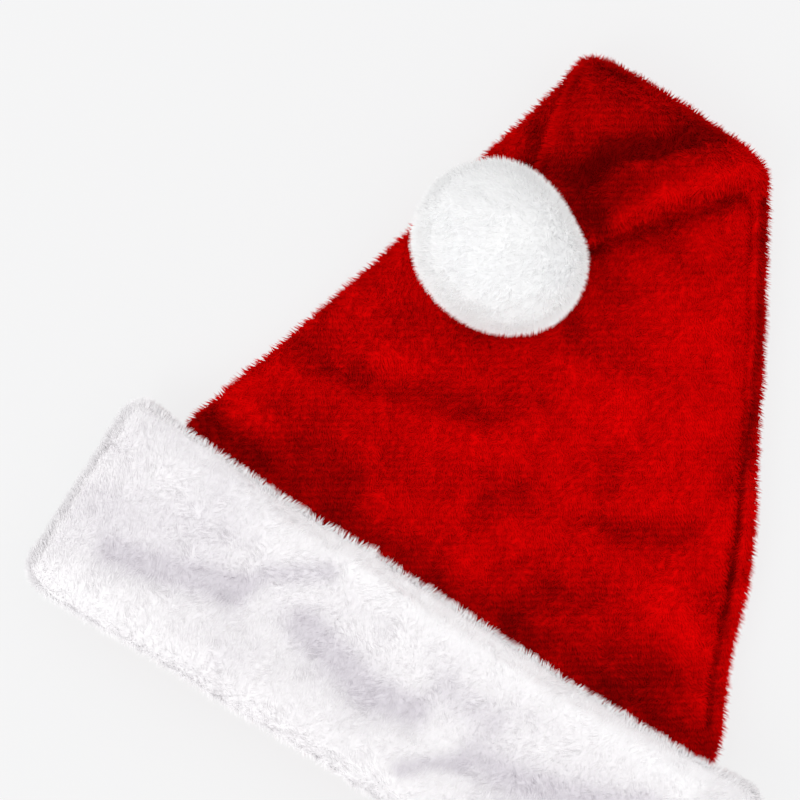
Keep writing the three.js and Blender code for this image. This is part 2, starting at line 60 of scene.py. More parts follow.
# %% [markdown]
# The photograph was taken from straight above with the hat turned on the table. The camera is set
# first, so that every later render can be laid over the photograph. Its turn is the angle of the cuff.

# %% The camera
CAMERA_TURN = math.radians(32.0)
CAMERA_HEIGHT = 1.25
VIEW_WIDTH = 347.8 * MM
VIEW_LEVEL = 20 * MM
VIEW_CENTRE = Vector((-63.5 * MM, -9.5 * MM, 0))
SENSOR = 36.0

view = bpy.data.cameras.new("camera")
view.sensor_width = SENSOR
view.lens = SENSOR * (CAMERA_HEIGHT - VIEW_LEVEL) / VIEW_WIDTH
view.clip_start = 0.05
camera = bpy.data.objects.new("camera", view)
camera.location = VIEW_CENTRE + Vector((0, 0, CAMERA_HEIGHT))
camera.rotation_euler = (0, 0, CAMERA_TURN)
bpy.context.scene.collection.objects.link(camera)
bpy.context.scene.camera = camera
print("lens", round(view.lens, 1), "mm")

# %% [markdown]
# Two helpers are used all through the lesson. One picks a single object to work on, and the other
# adds and joins nodes.

# %% Helpers for selecting and for node trees
def only(piece):
    """Selects one object and makes it active, with everything else deselected."""
    if bpy.context.object and bpy.context.object.mode != "OBJECT":
        bpy.ops.object.mode_set(mode="OBJECT")
    bpy.ops.object.select_all(action="DESELECT")
    piece.select_set(True)
    bpy.context.view_layer.objects.active = piece
    return piece


def node_tree(tree):
    """Functions that add a node with its settings, and join two sockets."""

    def add(kind, **settings):
        node = tree.nodes.new(kind)
        for key, value in settings.items():
            if key in node.inputs and key[0].isupper():
                node.inputs[key].default_value = value
            else:
                setattr(node, key, value)
        return node

    def join(output, socket):
        tree.links.new(output, socket)

    return add, join


# %% [markdown]
# The floor is pale and nearly shadowless, as in a shop's photograph. A little of its own light lifts
# the shadows, and the rest of it takes the soft shade under the cuff.

# %% The floor and the light
FLOOR_COLOUR = (0.11, 0.11, 0.11, 1)
FLOOR_LIGHT = (0.9, 0.9, 0.905, 1)
FLOOR_GLOW = 0.87
SKY_LIGHT = 1.0
KEY_PLACE = (-0.55, -1.0, 1.15)
KEY_SIZE = 0.8
KEY_WATTS = 5.5
FILL_PLACE = (0.7, 0.6, 1.6)
FILL_SIZE = 1.6
FILL_WATTS = 3

bpy.ops.object.select_all(action="DESELECT")
bpy.ops.mesh.primitive_grid_add(x_subdivisions=4, y_subdivisions=4, size=6)
floor = bpy.context.object
floor.name = "floor"
floor_paint = bpy.data.materials.new("floor_paint")
floor_paint.use_nodes = True
shader = floor_paint.node_tree.nodes["Principled BSDF"]
shader.inputs["Base Color"].default_value = FLOOR_COLOUR
shader.inputs["Roughness"].default_value = 1.0
shader.inputs["Specular IOR Level"].default_value = 0.0
shader.inputs["Emission Color"].default_value = FLOOR_LIGHT
shader.inputs["Emission Strength"].default_value = FLOOR_GLOW
floor.data.materials.append(floor_paint)

world = bpy.data.worlds.new("studio")
world.use_nodes = True
world.node_tree.nodes["Background"].inputs["Color"].default_value = (1, 1, 1, 1)
world.node_tree.nodes["Background"].inputs["Strength"].default_value = SKY_LIGHT
bpy.context.scene.world = world


def softbox(name, place, size, watts):
    """A large square lamp at a place, aimed at the middle of the hat."""
    lamp = bpy.data.lights.new(name, "AREA")
    lamp.size = size
    lamp.energy = watts
    box = bpy.data.objects.new(name, lamp)
    box.location = place
    box.rotation_euler = (VIEW_CENTRE - Vector(place)).to_track_quat("-Z", "Y").to_euler()
    bpy.context.scene.collection.objects.link(box)


softbox("key", KEY_PLACE, KEY_SIZE, KEY_WATTS)
softbox("fill", FILL_PLACE, FILL_SIZE, FILL_WATTS)
bpy.context.scene.view_settings.view_transform = "Standard"
print("floor and two softboxes")

# %% [markdown]
# Each soft piece starts as a merged copy of its solid. Its triangles are joined into quads, and
# subdivision rounds the facets into cloth.

# %% A soft copy of a solid
MERGE_DISTANCE = 0.01 * MM
QUAD_ANGLE = math.radians(60)


def soft_copy(node, name):
    """A merged copy of a solid, in quads where its triangles allow, with no material."""
    source = bpy.data.objects[node]
    piece = source.copy()
    piece.data = source.data.copy()
    piece.name = name
    piece.data.name = name
    piece.hide_render = False
    piece.data.materials.clear()
    bpy.context.scene.collection.objects.link(piece)
    only(piece)
    bpy.ops.object.mode_set(mode="EDIT")
    bpy.ops.mesh.select_all(action="SELECT")
    bpy.ops.mesh.remove_doubles(threshold=MERGE_DISTANCE)
    bpy.ops.mesh.tris_convert_to_quads(face_threshold=QUAD_ANGLE, shape_threshold=QUAD_ANGLE)
    bpy.ops.object.mode_set(mode="OBJECT")
    return piece


def finish_with(piece, kind, **settings):
    """Adds one modifier with its settings and applies it."""
    only(piece)
    step = piece.modifiers.new("step", kind)
    for key, value in settings.items():
        setattr(step, key, value)
    bpy.ops.object.modifier_apply(modifier="step")


def rounded(piece, levels):
    finish_with(piece, "SUBSURF", levels=levels, render_levels=levels)
    bpy.ops.object.shade_smooth()
    print(piece.name, len(piece.data.polygons), "faces")


def ruffle(piece, size, height):
    """Uneven ground under the pile: clouds of one size push the surface in and out."""
    clouds = bpy.data.textures.new(f"{piece.name}_clouds", "CLOUDS")
    clouds.noise_scale = size
    clouds.noise_depth = 2
    finish_with(piece, "DISPLACE", texture=clouds, texture_coords="LOCAL", strength=height, mid_level=0.5)


def corners(piece, kind="co"):
    """The places or normals of a piece's vertices, as rows of an array."""
    values = np.zeros(len(piece.data.vertices) * 3, np.float32)
    piece.data.vertices.foreach_get(kind, values)
    return values.reshape(-1, 3)


def place_corners(piece, values):
    piece.data.vertices.foreach_set("co", values.astype(np.float32).ravel())
    piece.data.update()


def store(piece, name, values):
    """Keeps one number for each vertex under a name that materials and the pile can read."""
    layer = piece.data.attributes.get(name) or piece.data.attributes.new(name, "FLOAT", "POINT")
    layer.data.foreach_set("value", values.astype(np.float32))


# %% [markdown]
# Stuffed and doubled cloth swells until its skin is tight. Blender's cloth does that with a little
# pressure inside a remeshed copy. A cap keeps the swelling to what the pile can hide. The cuff swells
# nearly to its cap, but the pressure hardly moves the pompom, as the printed means show.

# %% Swelling a padded piece
SWELL_FRAMES = 20


def swell(piece, voxel, pressure, cap, smoothing):
    """Remeshes and smooths a piece, then swells it as cloth, no point further than cap."""
    finish_with(piece, "REMESH", mode="VOXEL", voxel_size=voxel)
    finish_with(piece, "SMOOTH", iterations=smoothing, factor=0.5)
    slack = corners(piece)
    only(piece)
    skin = piece.modifiers.new("skin", "CLOTH")
    skin.settings.use_pressure = True
    skin.settings.uniform_pressure_force = pressure
    skin.settings.effector_weights.gravity = 0
    skin.settings.quality = 4
    for moment in range(1, SWELL_FRAMES + 1):
        bpy.context.scene.frame_set(moment)
    bpy.ops.object.modifier_apply(modifier="skin")
    bpy.context.scene.frame_set(1)
    moved = corners(piece) - slack
    far = np.linalg.norm(moved, axis=1, keepdims=True)
    place_corners(piece, slack + moved * np.minimum(1, cap / np.maximum(far, 1e-9)))
    print(piece.name, "swelled by", round(float(np.minimum(far, cap).mean()) / MM, 2), "mm")


# %% [markdown]
# Smoothing draws a piece in, and no ball of fur is quite round. Two small moves of the points put
# that right: one stretches a piece to a box, and the other presses dents and raises bulges.

# %% Back to the solid's size
def fit_box(piece, low, high):
    """Stretches a piece until its box is the wanted one again, because smoothing has drawn it in."""
    places = corners(piece)
    small = places.min(axis=0)
    large = places.max(axis=0)
    stretched = (places - small) * (np.array(high) - np.array(low)) / (large - small)
    place_corners(piece, np.array(low) + stretched)


# %% Small dents and bulges
def press(piece, middle, rows):
    """Each row: a way out from the middle, the distance out, a reach and a depth, all in mm but the way."""
    for way, out, reach, depth in rows:
        places = corners(piece)
        spot = np.array(middle) + np.array(way) * out * MM
        weight = np.exp(-((np.linalg.norm(places - spot, axis=1) / (reach * MM)) ** 2))
        place_corners(piece, places - corners(piece, "normal") * (weight * depth * MM)[:, None])


# %% [markdown]
# The crown runs on inside the cuff, with only a hair of air between them, and its peak ends in the
# pompom. Softening moves each wall by more than that, so the points that face a neighbour are put back
# just under their own solid's surface. Inside the pompom's recess some faces still cross the peak's
# end, out of sight.

# %% Keeping clear of a neighbour
NEIGHBOUR_REACH = 4 * MM
CLEARANCE = 0.3 * MM
HAIR = 0.01 * MM


def surface_of(node):
    """A solid's triangles, ready for asking what is nearest."""
    mesh = bpy.data.objects[node].data
    faces = [face.vertices for face in mesh.polygons]
    return BVHTree.FromPolygons([point.co for point in mesh.vertices], faces)


def keep_clear(piece, node, neighbour):
    """Puts the points that stand out of their own solid towards the neighbour back under its surface."""
    own = surface_of(node)
    other = surface_of(neighbour)
    count = 0
    for point in piece.data.vertices:
        spot, outward, _, _ = own.find_nearest(point.co)
        above = (point.co - spot).dot(outward)
        if above > -CLEARANCE and other.ray_cast(spot + outward * HAIR, outward, NEIGHBOUR_REACH)[0]:
            point.co = spot - outward * CLEARANCE
            count += 1
    piece.data.update()
    print(piece.name, count, "points kept clear of the", neighbour)


# %% [markdown]
# A pile grows where the cloth faces open air. A ray from each point of the surface finds out: inside
# the hat, or under the folded peak, it meets the same cloth again. Seen from above, single tufts stand
# out only along the edges, where the cloth turns down, so a second weight marks those for a fringe.

# %% Where the pile and the fringe can grow
STEEP = 0.6
STEEP_EASE = 0.3
FLOOR_GAP = 2.5 * MM
RAY_START = 0.6 * MM


def open_air(piece, reach, test):
    """Stores how freely tufts can grow at each vertex, from 0 to 1, as the attributes pile and fringe."""
    places = corners(piece)
    places[:, 2] = np.maximum(places[:, 2], 0)
    place_corners(piece, places)
    tree = BVHTree.FromObject(piece, bpy.context.evaluated_depsgraph_get())
    weights = np.zeros(len(piece.data.vertices), np.float32)
    for i, point in enumerate(piece.data.vertices):
        start = point.co + point.normal * RAY_START
        free = tree.ray_cast(start, point.normal, reach)[0] is None
        weights[i] = free * test(point.co, point.normal)
    store(piece, "pile", weights)
    upright = np.abs(corners(piece, "normal")[:, 2])
    steepness = np.clip((STEEP - upright) / STEEP_EASE, 0, 1)
    store(piece, "fringe", weights * steepness * (places[:, 2] > FLOOR_GAP))


# %% [markdown]
# Each stroke makes the plush darker or lighter and dents the cloth a little. Some strokes are patches
# where the pile lies another way; many are painted shade and painted light: shade along parts that
# lie against each other, shadows of the pompom and the folded peak, darker creases, dents and grooves,
# and lighter ridges. Each row of a table is one stroke, read off the photograph.

# %% Strokes: patches of the pile, painted shade and painted light
UPWARD_GAIN = 2
RIM_GAIN = 1.4


def stroke(piece, strokes, rim_light=0.0):
    """Presses each stroke into the upward faces in open air and stores its tone as the attribute nap.

    rim paints the steep sides lighter: painted light that stands in for light coming through a white pile.
    """
    places = corners(piece)
    normals = corners(piece, "normal")
    upward = np.clip(normals[:, 2] * UPWARD_GAIN, 0, 1)
    free = np.zeros(len(places), np.float32)
    piece.data.attributes["pile"].data.foreach_get("value", free)
    # Painted light: the steeper a side, the lighter rim paints it
    nap = rim_light * (1 - np.clip(normals[:, 2] * RIM_GAIN, 0, 1))
    dent = np.zeros(len(places))
    for path, width, tone, depth in strokes:
        near = np.full(len(places), 1e9)
        for start, end in zip(path, path[1:]):
            start = np.array(start) * MM
            along = np.array(end) * MM - start
            share = np.clip((places[:, :2] - start) @ along / (along @ along), 0, 1)
            near = np.minimum(near, np.linalg.norm(places[:, :2] - start - share[:, None] * along, axis=1))
        weight = np.exp(-((near / (width * MM)) ** 2)) * upward * free
        # Each stroke's tone: painted shade or painted light where it marks a shadow, crease, dent, groove
        # or ridge
        nap += tone * weight
        dent += depth * MM * weight
    place_corners(piece, places - normals * dent[:, None])
    store(piece, "nap", np.clip(nap, -1, 1))
    print(piece.name, len(strokes), "strokes, deepest", round(float(dent.max()) / MM, 1), "mm")


# %% A tuft, and a field of tufts on a surface
LOWEST_TUFT = 0.2 * MM


def tuft_model(name, sides=3):
    """One tapered tuft, 1 unit long and 1 wide at its root, standing on the origin."""
    bpy.ops.object.select_all(action="DESELECT")
    bpy.ops.mesh.primitive_cone_add(vertices=sides, radius1=0.5, radius2=0, depth=1, location=(0, 0, 0.5))
    tuft = bpy.context.object
    tuft.name = name
    bpy.ops.object.transform_apply(location=True, rotation=True, scale=True)
    return tuft


def covered(base, weight):
    """How much of a surface the tufts cover, each face counted by its stored weight."""
    mesh = base.data
    areas = np.zeros(len(mesh.polygons))
    mesh.polygons.foreach_get("area", areas)
    weights = np.zeros(len(mesh.vertices))
    mesh.attributes[weight].data.foreach_get("value", weights)
    around = np.zeros(len(mesh.loops), int)
    mesh.loops.foreach_get("vertex_index", around)
    starts = np.zeros(len(mesh.polygons), int)
    mesh.polygons.foreach_get("loop_start", starts)
    sizes = np.zeros(len(mesh.polygons), int)
    mesh.polygons.foreach_get("loop_total", sizes)
    return float((areas * np.add.reduceat(weights[around], starts) / sizes).sum())


def pile(name, base, tuft, count, length, width, lean, comb, clump, seed, weight="pile"):
    """Grows about count tufts on base. lean is how far they lie over, in radians, and comb which way."""
    field = base.copy()
    field.data = base.data.copy()
    field.name = name
    field.data.name = name
    bpy.context.scene.collection.objects.link(field)
    tree = bpy.data.node_groups.new(name, "GeometryNodeTree")
    tree.interface.new_socket("Geometry", in_out="INPUT", socket_type="NodeSocketGeometry")
    tree.interface.new_socket("Geometry", in_out="OUTPUT", socket_type="NodeSocketGeometry")
    add, join = node_tree(tree)
    start = add("NodeGroupInput")
    share = add("GeometryNodeInputNamedAttribute", data_type="FLOAT")
    share.inputs["Name"].default_value = weight
    density = add("ShaderNodeMath", operation="MULTIPLY")
    density.inputs[1].default_value = count / covered(base, weight)
    join(share.outputs["Attribute"], density.inputs[0])
    spots = add("GeometryNodeDistributePointsOnFaces", distribute_method="RANDOM")
    spots.inputs["Seed"].default_value = seed
    join(start.outputs["Geometry"], spots.inputs["Mesh"])
    join(density.outputs["Value"], spots.inputs["Density"])

    # The way each tuft lies: the comb's direction, stirred by two sizes of noise, laid on the surface
    stirred = None
    where = add("GeometryNodeInputPosition")
    for size, strength in clump:
        noise = add("ShaderNodeTexNoise", noise_dimensions="3D")
        noise.inputs["Scale"].default_value = 1 / size
        noise.inputs["Detail"].default_value = 1.0
        join(where.outputs["Position"], noise.inputs["Vector"])
        centred = add("ShaderNodeVectorMath", operation="SUBTRACT")
        centred.inputs[1].default_value = (0.5, 0.5, 0.5)
        join(noise.outputs["Color"], centred.inputs[0])
        scaled = add("ShaderNodeVectorMath", operation="SCALE")
        scaled.inputs["Scale"].default_value = strength
        join(centred.outputs["Vector"], scaled.inputs[0])
        total = add("ShaderNodeVectorMath", operation="ADD")
        join(scaled.outputs["Vector"], total.inputs[0])
        if stirred is None:
            total.inputs[1].default_value = comb
        else:
            join(stirred, total.inputs[1])
        stirred = total.outputs["Vector"]
    into = add("ShaderNodeVectorMath", operation="PROJECT")
    join(stirred, into.inputs[0])
    join(spots.outputs["Normal"], into.inputs[1])
    flat = add("ShaderNodeVectorMath", operation="SUBTRACT")
    join(stirred, flat.inputs[0])
    join(into.outputs["Vector"], flat.inputs[1])
    over = add("ShaderNodeVectorMath", operation="NORMALIZE")
    join(flat.outputs["Vector"], over.inputs[0])
    leaning = add("FunctionNodeRandomValue", data_type="FLOAT")
    leaning.inputs[2].default_value = math.tan(lean * 0.5)
    leaning.inputs[3].default_value = math.tan(min(lean * 1.3, 1.45))
    leaning.inputs["Seed"].default_value = seed + 1
    sloped = add("ShaderNodeVectorMath", operation="SCALE")
    join(over.outputs["Vector"], sloped.inputs[0])
    join(leaning.outputs[1], sloped.inputs["Scale"])
    way = add("ShaderNodeVectorMath", operation="ADD")
    join(sloped.outputs["Vector"], way.inputs[0])
    join(spots.outputs["Normal"], way.inputs[1])
    turn = add("FunctionNodeAlignRotationToVector", axis="Z")
    join(way.outputs["Vector"], turn.inputs["Vector"])

    # Sizes vary from tuft to tuft
    size = add("FunctionNodeRandomValue", data_type="FLOAT_VECTOR")
    size.inputs[0].default_value = (width * 0.7, width * 0.7, length * 0.6)
    size.inputs[1].default_value = (width * 1.3, width * 1.3, length * 1.25)
    size.inputs["Seed"].default_value = seed + 2
    shape = add("GeometryNodeObjectInfo")
    shape.inputs["Object"].default_value = tuft
    grow = add("GeometryNodeInstanceOnPoints")
    join(spots.outputs["Points"], grow.inputs["Points"])
    join(shape.outputs["Geometry"], grow.inputs["Instance"])
    join(turn.outputs["Rotation"], grow.inputs["Rotation"])
    join(size.outputs[0], grow.inputs["Scale"])
    tone = add("FunctionNodeRandomValue", data_type="FLOAT")
    tone.inputs["Seed"].default_value = seed + 3
    keep = add("GeometryNodeStoreNamedAttribute", data_type="FLOAT", domain="INSTANCE")
    keep.inputs["Name"].default_value = "tone"
    join(grow.outputs["Instances"], keep.inputs["Geometry"])
    join(tone.outputs[1], keep.inputs["Value"])
    real = add("GeometryNodeRealizeInstances")
    join(keep.outputs["Geometry"], real.inputs["Geometry"])
    end = add("NodeGroupOutput")
    join(real.outputs["Geometry"], end.inputs["Geometry"])
    growth = field.modifiers.new("growth", "NODES")
    growth.node_group = tree
    only(field)
    bpy.ops.object.modifier_apply(modifier="growth")

    # No tuft reaches through what the hat lies on
    places = corners(field)
    places[:, 2] = np.maximum(places[:, 2], LOWEST_TUFT)
    place_corners(field, places)
    field.data.materials.clear()
    print(name, len(field.data.polygons), "faces")
    return field


# %% [markdown]
# Plush takes its depth from shade between the fibres and from patches where the nap lies another way.
# Both are noise on the object's own coordinates, from patches as wide as a hand to single strands.

# %% Plush materials
ROW_PITCH = 2.8 * MM
DEEP_BELOW = 0.28
LIGHT_ABOVE = 0.24
BUMP_HEIGHT = 0.3 * MM


def plush(name, deep, main, light, sheen, patch, grain, amounts):
    """amounts: how far patches, grain, rows, each tuft's own tone and the strokes change the colour."""
    material = bpy.data.materials.new(name)
    material.use_nodes = True
    add, join = node_tree(material.node_tree)
    shader = material.node_tree.nodes["Principled BSDF"]
    shader.inputs["Roughness"].default_value = 0.9
    shader.inputs["Specular IOR Level"].default_value = 0.02
    shader.inputs["Sheen Weight"].default_value = sheen
    shader.inputs["Sheen Roughness"].default_value = 0.5
    shader.inputs["Sheen Tint"].default_value = (*light, 1)
    place = add("ShaderNodeTexCoord")

    # Three sizes of pattern: patches, rows of the backing, and the grain of the fibres
    broad = add("ShaderNodeTexNoise")
    broad.inputs["Scale"].default_value = 1 / patch
    broad.inputs["Detail"].default_value = 5.0
    broad.inputs["Roughness"].default_value = 0.6
    fine = add("ShaderNodeTexNoise")
    fine.inputs["Scale"].default_value = 1 / grain
    fine.inputs["Detail"].default_value = 2.0
    turned = add("ShaderNodeMapping")
    turned.inputs["Rotation"].default_value = (0, 0, -CAMERA_TURN)
    lines = add("ShaderNodeTexWave", bands_direction="Y")
    lines.inputs["Scale"].default_value = math.pi / 10 / ROW_PITCH
    lines.inputs["Distortion"].default_value = 5.0
    lines.inputs["Detail"].default_value = 2.0
    lines.inputs["Detail Scale"].default_value = 2.5
    join(place.outputs["Object"], broad.inputs["Vector"])
    join(place.outputs["Object"], fine.inputs["Vector"])
    join(place.outputs["Object"], turned.inputs["Vector"])
    join(turned.outputs["Vector"], lines.inputs["Vector"])

    # The level from deep to light is the sum of them, of the tuft's own tone and of the strokes
    sources = [broad.outputs["Fac"], fine.outputs["Fac"], lines.outputs["Fac"]]
    # The strokes' attribute carries their painted shade and painted light, and the pile's patches, into the
    # colour
    for attribute in ("tone", "nap"):
        layer = add("ShaderNodeAttribute")
        layer.attribute_name = attribute
        sources.append(layer.outputs["Fac"])
    level = None
    for source, amount in zip(sources, amounts):
        total = add("ShaderNodeMath", operation="MULTIPLY_ADD")
        total.inputs[1].default_value = amount
        total.inputs[2].default_value = 0.0
        join(source, total.inputs[0])
        if level:
            join(level, total.inputs[2])
        level = total.outputs["Value"]
    middle = sum(amounts[:4]) / 2
    colours = add("ShaderNodeValToRGB")
    colours.color_ramp.elements[0].position = middle - DEEP_BELOW
    colours.color_ramp.elements[0].color = (*deep, 1)
    colours.color_ramp.elements[1].position = middle + LIGHT_ABOVE
    colours.color_ramp.elements[1].color = (*light, 1)
    colours.color_ramp.elements.new(middle).color = (*main, 1)
    join(level, colours.inputs["Fac"])
    join(colours.outputs["Color"], shader.inputs["Base Color"])
    bump = add("ShaderNodeBump")
    bump.inputs["Strength"].default_value = 0.4
    bump.inputs["Distance"].default_value = BUMP_HEIGHT
    join(fine.outputs["Fac"], bump.inputs["Height"])
    join(bump.outputs["Normal"], shader.inputs["Normal"])
    return material


# The deep and light colours serve the random patches and also the strokes' painted shade and painted light
RED_DEEP = (0.24, 0.0003, 0.0003)
RED_MAIN = (0.645, 0.0004, 0.0005)
RED_LIGHT = (0.84, 0.0007, 0.0009)
WHITE_DEEP = (0.7, 0.67, 0.71)
WHITE_MAIN = (0.865, 0.848, 0.862)
WHITE_LIGHT = (0.935, 0.925, 0.935)
FUR_DEEP = (0.8, 0.8, 0.82)
FUR_MAIN = (0.88, 0.88, 0.885)
FUR_LIGHT = (0.96, 0.96, 0.96)
RED_AMOUNTS = (0.54, 0.2, 0.08, 0.05, 0.5)
WHITE_AMOUNTS = (0.35, 0.12, 0.0, 0.05, 0.5)
SHEEN = 0.1
red_plush = plush(
    "red_plush", RED_DEEP, RED_MAIN, RED_LIGHT, SHEEN,
    patch=26 * MM, grain=1.1 * MM, amounts=RED_AMOUNTS,
)
white_plush = plush(
    "white_plush", WHITE_DEEP, WHITE_MAIN, WHITE_LIGHT, SHEEN,
    patch=45 * MM, grain=1.6 * MM, amounts=WHITE_AMOUNTS,
)
white_fur = plush(
    "white_fur", FUR_DEEP, FUR_MAIN, FUR_LIGHT, SHEEN,
    patch=40 * MM, grain=1.6 * MM, amounts=WHITE_AMOUNTS,
)

# %% [markdown]
# The crown is one cone of plush cloth. Its copy keeps the hollow, the fold and the seam's groove.

# %% The crown's cloth
CUFF_TOP = CUFF_HIGH.y
CUFF_COVER = 10 * MM
FLOOR_SIDE = -0.5
SKY = 60 * MM
OFF_THE_FLOOR = 8 * MM
PEAK_CORNER = np.array((-72, 153)) * MM
PEAK_REACH = 28 * MM
PEAK_SHIFT = np.array((1.6, 0.3, 0)) * MM

crown_cloth = soft_copy("crown", "crown_cloth")
rounded(crown_cloth, levels=2)
ruffle(crown_cloth, size=16 * MM, height=1.4 * MM)
places = corners(crown_cloth)
near = np.linalg.norm(places[:, :2] - PEAK_CORNER, axis=1) / PEAK_REACH
place_corners(crown_cloth, places + np.exp(-(near**2))[:, None] * PEAK_SHIFT)
keep_clear(crown_cloth, "crown", "cuff")
keep_clear(crown_cloth, "crown", "pompom")


def crown_in_air(place, normal):
    return place.y > CUFF_TOP - CUFF_COVER and (normal.z > FLOOR_SIDE or place.z > OFF_THE_FLOOR)


open_air(crown_cloth, SKY, crown_in_air)
# Each row: the stroke's path in mm, its half width in mm, its tone and its depth in mm
# Many rows are painted shade: along the cuff's top edge, beside and under the pompom, under the folded
# peak's edge, across the peak, in its creases, in dents and in the seam's groove. Some are painted light,
# on the peak's ridge and beside the seam. The others are patches where the pile lies another way.
CROWN_NAP_AND_PAINTED_LIGHT = (
    (((-135, -63), (0, -64), (138, -66)), 7, -0.3, 0.0),
    (((-112, -13), (-92, -11), (-60, -3), (-28, 3)), 7, -0.22, 1.2),
    (((22, -56), (34, -47), (46, -42)), 13, -0.3, 0.8),
    (((76, -50), (90, -46), (100, -54)), 13, -0.3, 0.8),
    (((-88, -50), (-62, -53)), 9, -0.25, 0.5),
    (((-128, -58), (-106, -60)), 8, -0.25, 0.5),
    (((45, -7), (56, -1), (72, 10)), 7, -0.3, 1.2),
    (((-8, -24), (2, -16)), 7, -0.15, 0.3),
    (((-54, -30), (-46, -33)), 6, -0.15, 0.3),
    (((8, 56), (20, 59)), 7, -0.15, 0.3),
    (((-109, -39), (-104, -36)), 10, -0.2, 0.0),
    (((-101, 2), (-98, 5)), 8, -0.15, 0.0),
    (((-38, -42), (-33, -39)), 9, -0.2, 0.0),
    (((-34, 78), (-24, 62), (-13, 52)), 8, -0.3, 0.0),
    (((2, 16), (24, 32)), 22, 0.12, 0.0),
    (((-8, -50), (30, -58)), 10, 0.12, 0.0),
    (((-120, -52), (-112, -50)), 9, 0.15, 0.0),
    (((54, 14), (60, 10)), 8, -0.15, 0.0),
    (((-35, 97), (-31, 100)), 7, -0.4, 0.0),
    (((-50, 166), (-20, 157)), 8, -0.28, 0.0),
    (((-27, 89), (-13, 108), (5, 129), (16, 145)), 3.2, -0.34, 0.4),
    (((25, 150), (60, 88), (80, 45), (105, -10), (125, -58)), 2.6, -0.4, 0.8),
    (((36, 150), (72, 88), (92, 45), (116, -10), (134, -50)), 5, 0.25, 0.0),
    (((22, 92), (48, 46), (62, 14)), 22, 0.14, 0.0),
    (((78, -22), (96, -28)), 12, 0.25, 0.0),
    (((-40, -10), (-20, -2)), 10, 0.15, -0.5),
    (((-82, 2), (-78, 4)), 4, 0.12, -0.5),
    (((-66, 156), (-50, 140), (-30, 128)), 18, -0.33, 0.0),
    (((-8, 160), (-22, 150), (-31, 140), (-42, 129), (-47, 114)), 6, -0.5, 1.8),
    (((-16, 153), (-28, 138), (-44, 123), (-51, 112)), 2.5, -0.3, 0.6),
    (((-76, 124), (-72, 108)), 5, -0.28, 1.0),
    (((-62, 112), (-40, 106)), 9, -0.3, 0.5),
    (((-66, 152), (-58, 138)), 8, 0.15, -0.5),
    (((-30, 132), (-40, 126)), 3, 0.3, -0.8),
    (((8, 152), (-10, 130), (-24, 108)), 5, 0.25, -1.2),
    (((-71, 132), (-62, 110)), 3, 0.15, -0.4),
)
stroke(crown_cloth, CROWN_NAP_AND_PAINTED_LIGHT)
crown_cloth.data.materials.append(red_plush)
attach(crown_cloth, "root")
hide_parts("crown")

# %% [markdown]

# %% [markdown]
# The pile is grown in two layers and a fringe, so that no mesh goes past 200,000 triangles.

# %% The crown's pile
def dress(grown, material):
    """Gives a grown pile its finish, and makes it part of the hat."""
    grown.data.materials.append(material)
    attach(grown, "root")


tuft = tuft_model("tuft")
CROWN_COMB = (0.2, -0.8, 0.0)
CROWN_CLUMPS = ((14 * MM, 3.0), (4 * MM, 2.5))
for side, seed in (("first", 11), ("second", 12)):
    grown = pile(
        f"crown_pile_{side}", crown_cloth, tuft, count=36500, length=2.8 * MM, width=0.75 * MM, lean=0.9,
        comb=CROWN_COMB, clump=CROWN_CLUMPS, seed=seed,
    )
    dress(grown, red_plush)
grown = pile(
    "crown_fringe", crown_cloth, tuft, count=8500, length=4.2 * MM, width=0.8 * MM, lean=0.5,
    comb=CROWN_COMB, clump=CROWN_CLUMPS, seed=13, weight="fringe",
)
dress(grown, red_plush)

# %% [markdown]
# The cuff is a band of long plush, doubled and turned up. It is swelled, brought back to its box, and
# raised a little at its left end, as in the photograph. Its strokes are read off like the crown's.

# %% The cuff
CUFF_INSET = Vector((-0.5 * MM, 1.5 * MM, 0))
CUFF_RISE = 2.6 * MM
CUFF_RISE_END = 60 * MM
CUFF_RISE_LENGTH = 90 * MM

cuff_band = soft_copy("cuff", "cuff_band")
swell(cuff_band, voxel=3.2 * MM, pressure=3.0, cap=2.0 * MM, smoothing=2)
rounded(cuff_band, levels=1)
ruffle(cuff_band, size=25 * MM, height=1.5 * MM)
fit_box(cuff_band, CUFF_LOW + CUFF_INSET, CUFF_HIGH - CUFF_INSET)
places = corners(cuff_band)
leftness = np.clip((CUFF_RISE_END - places[:, 0]) / CUFF_RISE_LENGTH, 0, 1)
height = np.clip((places[:, 1] - CUFF_LOW.y) / (CUFF_HIGH.y - CUFF_LOW.y), 0, 1)
places[:, 1] += CUFF_RISE * leftness * height**2
place_corners(cuff_band, places)
keep_clear(cuff_band, "cuff", "crown")
open_air(cuff_band, SKY, lambda place, normal: normal.z > FLOOR_SIDE)
# The cuff's strokes are painted shade in its dents and painted light along its top roll and lower edge
CUFF_PAINTED_SHADE_AND_LIGHT = (
    (((-134, -130), (-118, -127), (-100, -121), (-82, -117)), 7, -0.55, 1.5),
    (((-82, -117), (-70, -101), (-50, -88)), 5, -0.4, 1.2),
    (((-48, -113), (-30, -118), (-8, -123), (12, -120)), 8, -0.6, 1.5),
    (((20, -143), (28, -135), (40, -128)), 4, -0.5, 1.2),
    (((18, -104), (42, -107)), 8, -0.35, 1.0),
    (((44, -123), (62, -122), (88, -116), (118, -103)), 8, -0.5, 1.2),
    (((-150, -118), (-100, -98)), 12, -0.2, 0.4),
    (((-40, -80), (40, -82), (128, -84)), 7, 0.3, -0.5),
    (((-150, -155), (-60, -152), (60, -152), (150, -152)), 8, 0.15, 0.0),
)
# rim paints the cuff's steep sides lighter: painted light
stroke(cuff_band, CUFF_PAINTED_SHADE_AND_LIGHT, rim_light=0.5)
cuff_band.data.materials.append(white_plush)
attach(cuff_band, "root")
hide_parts("cuff")

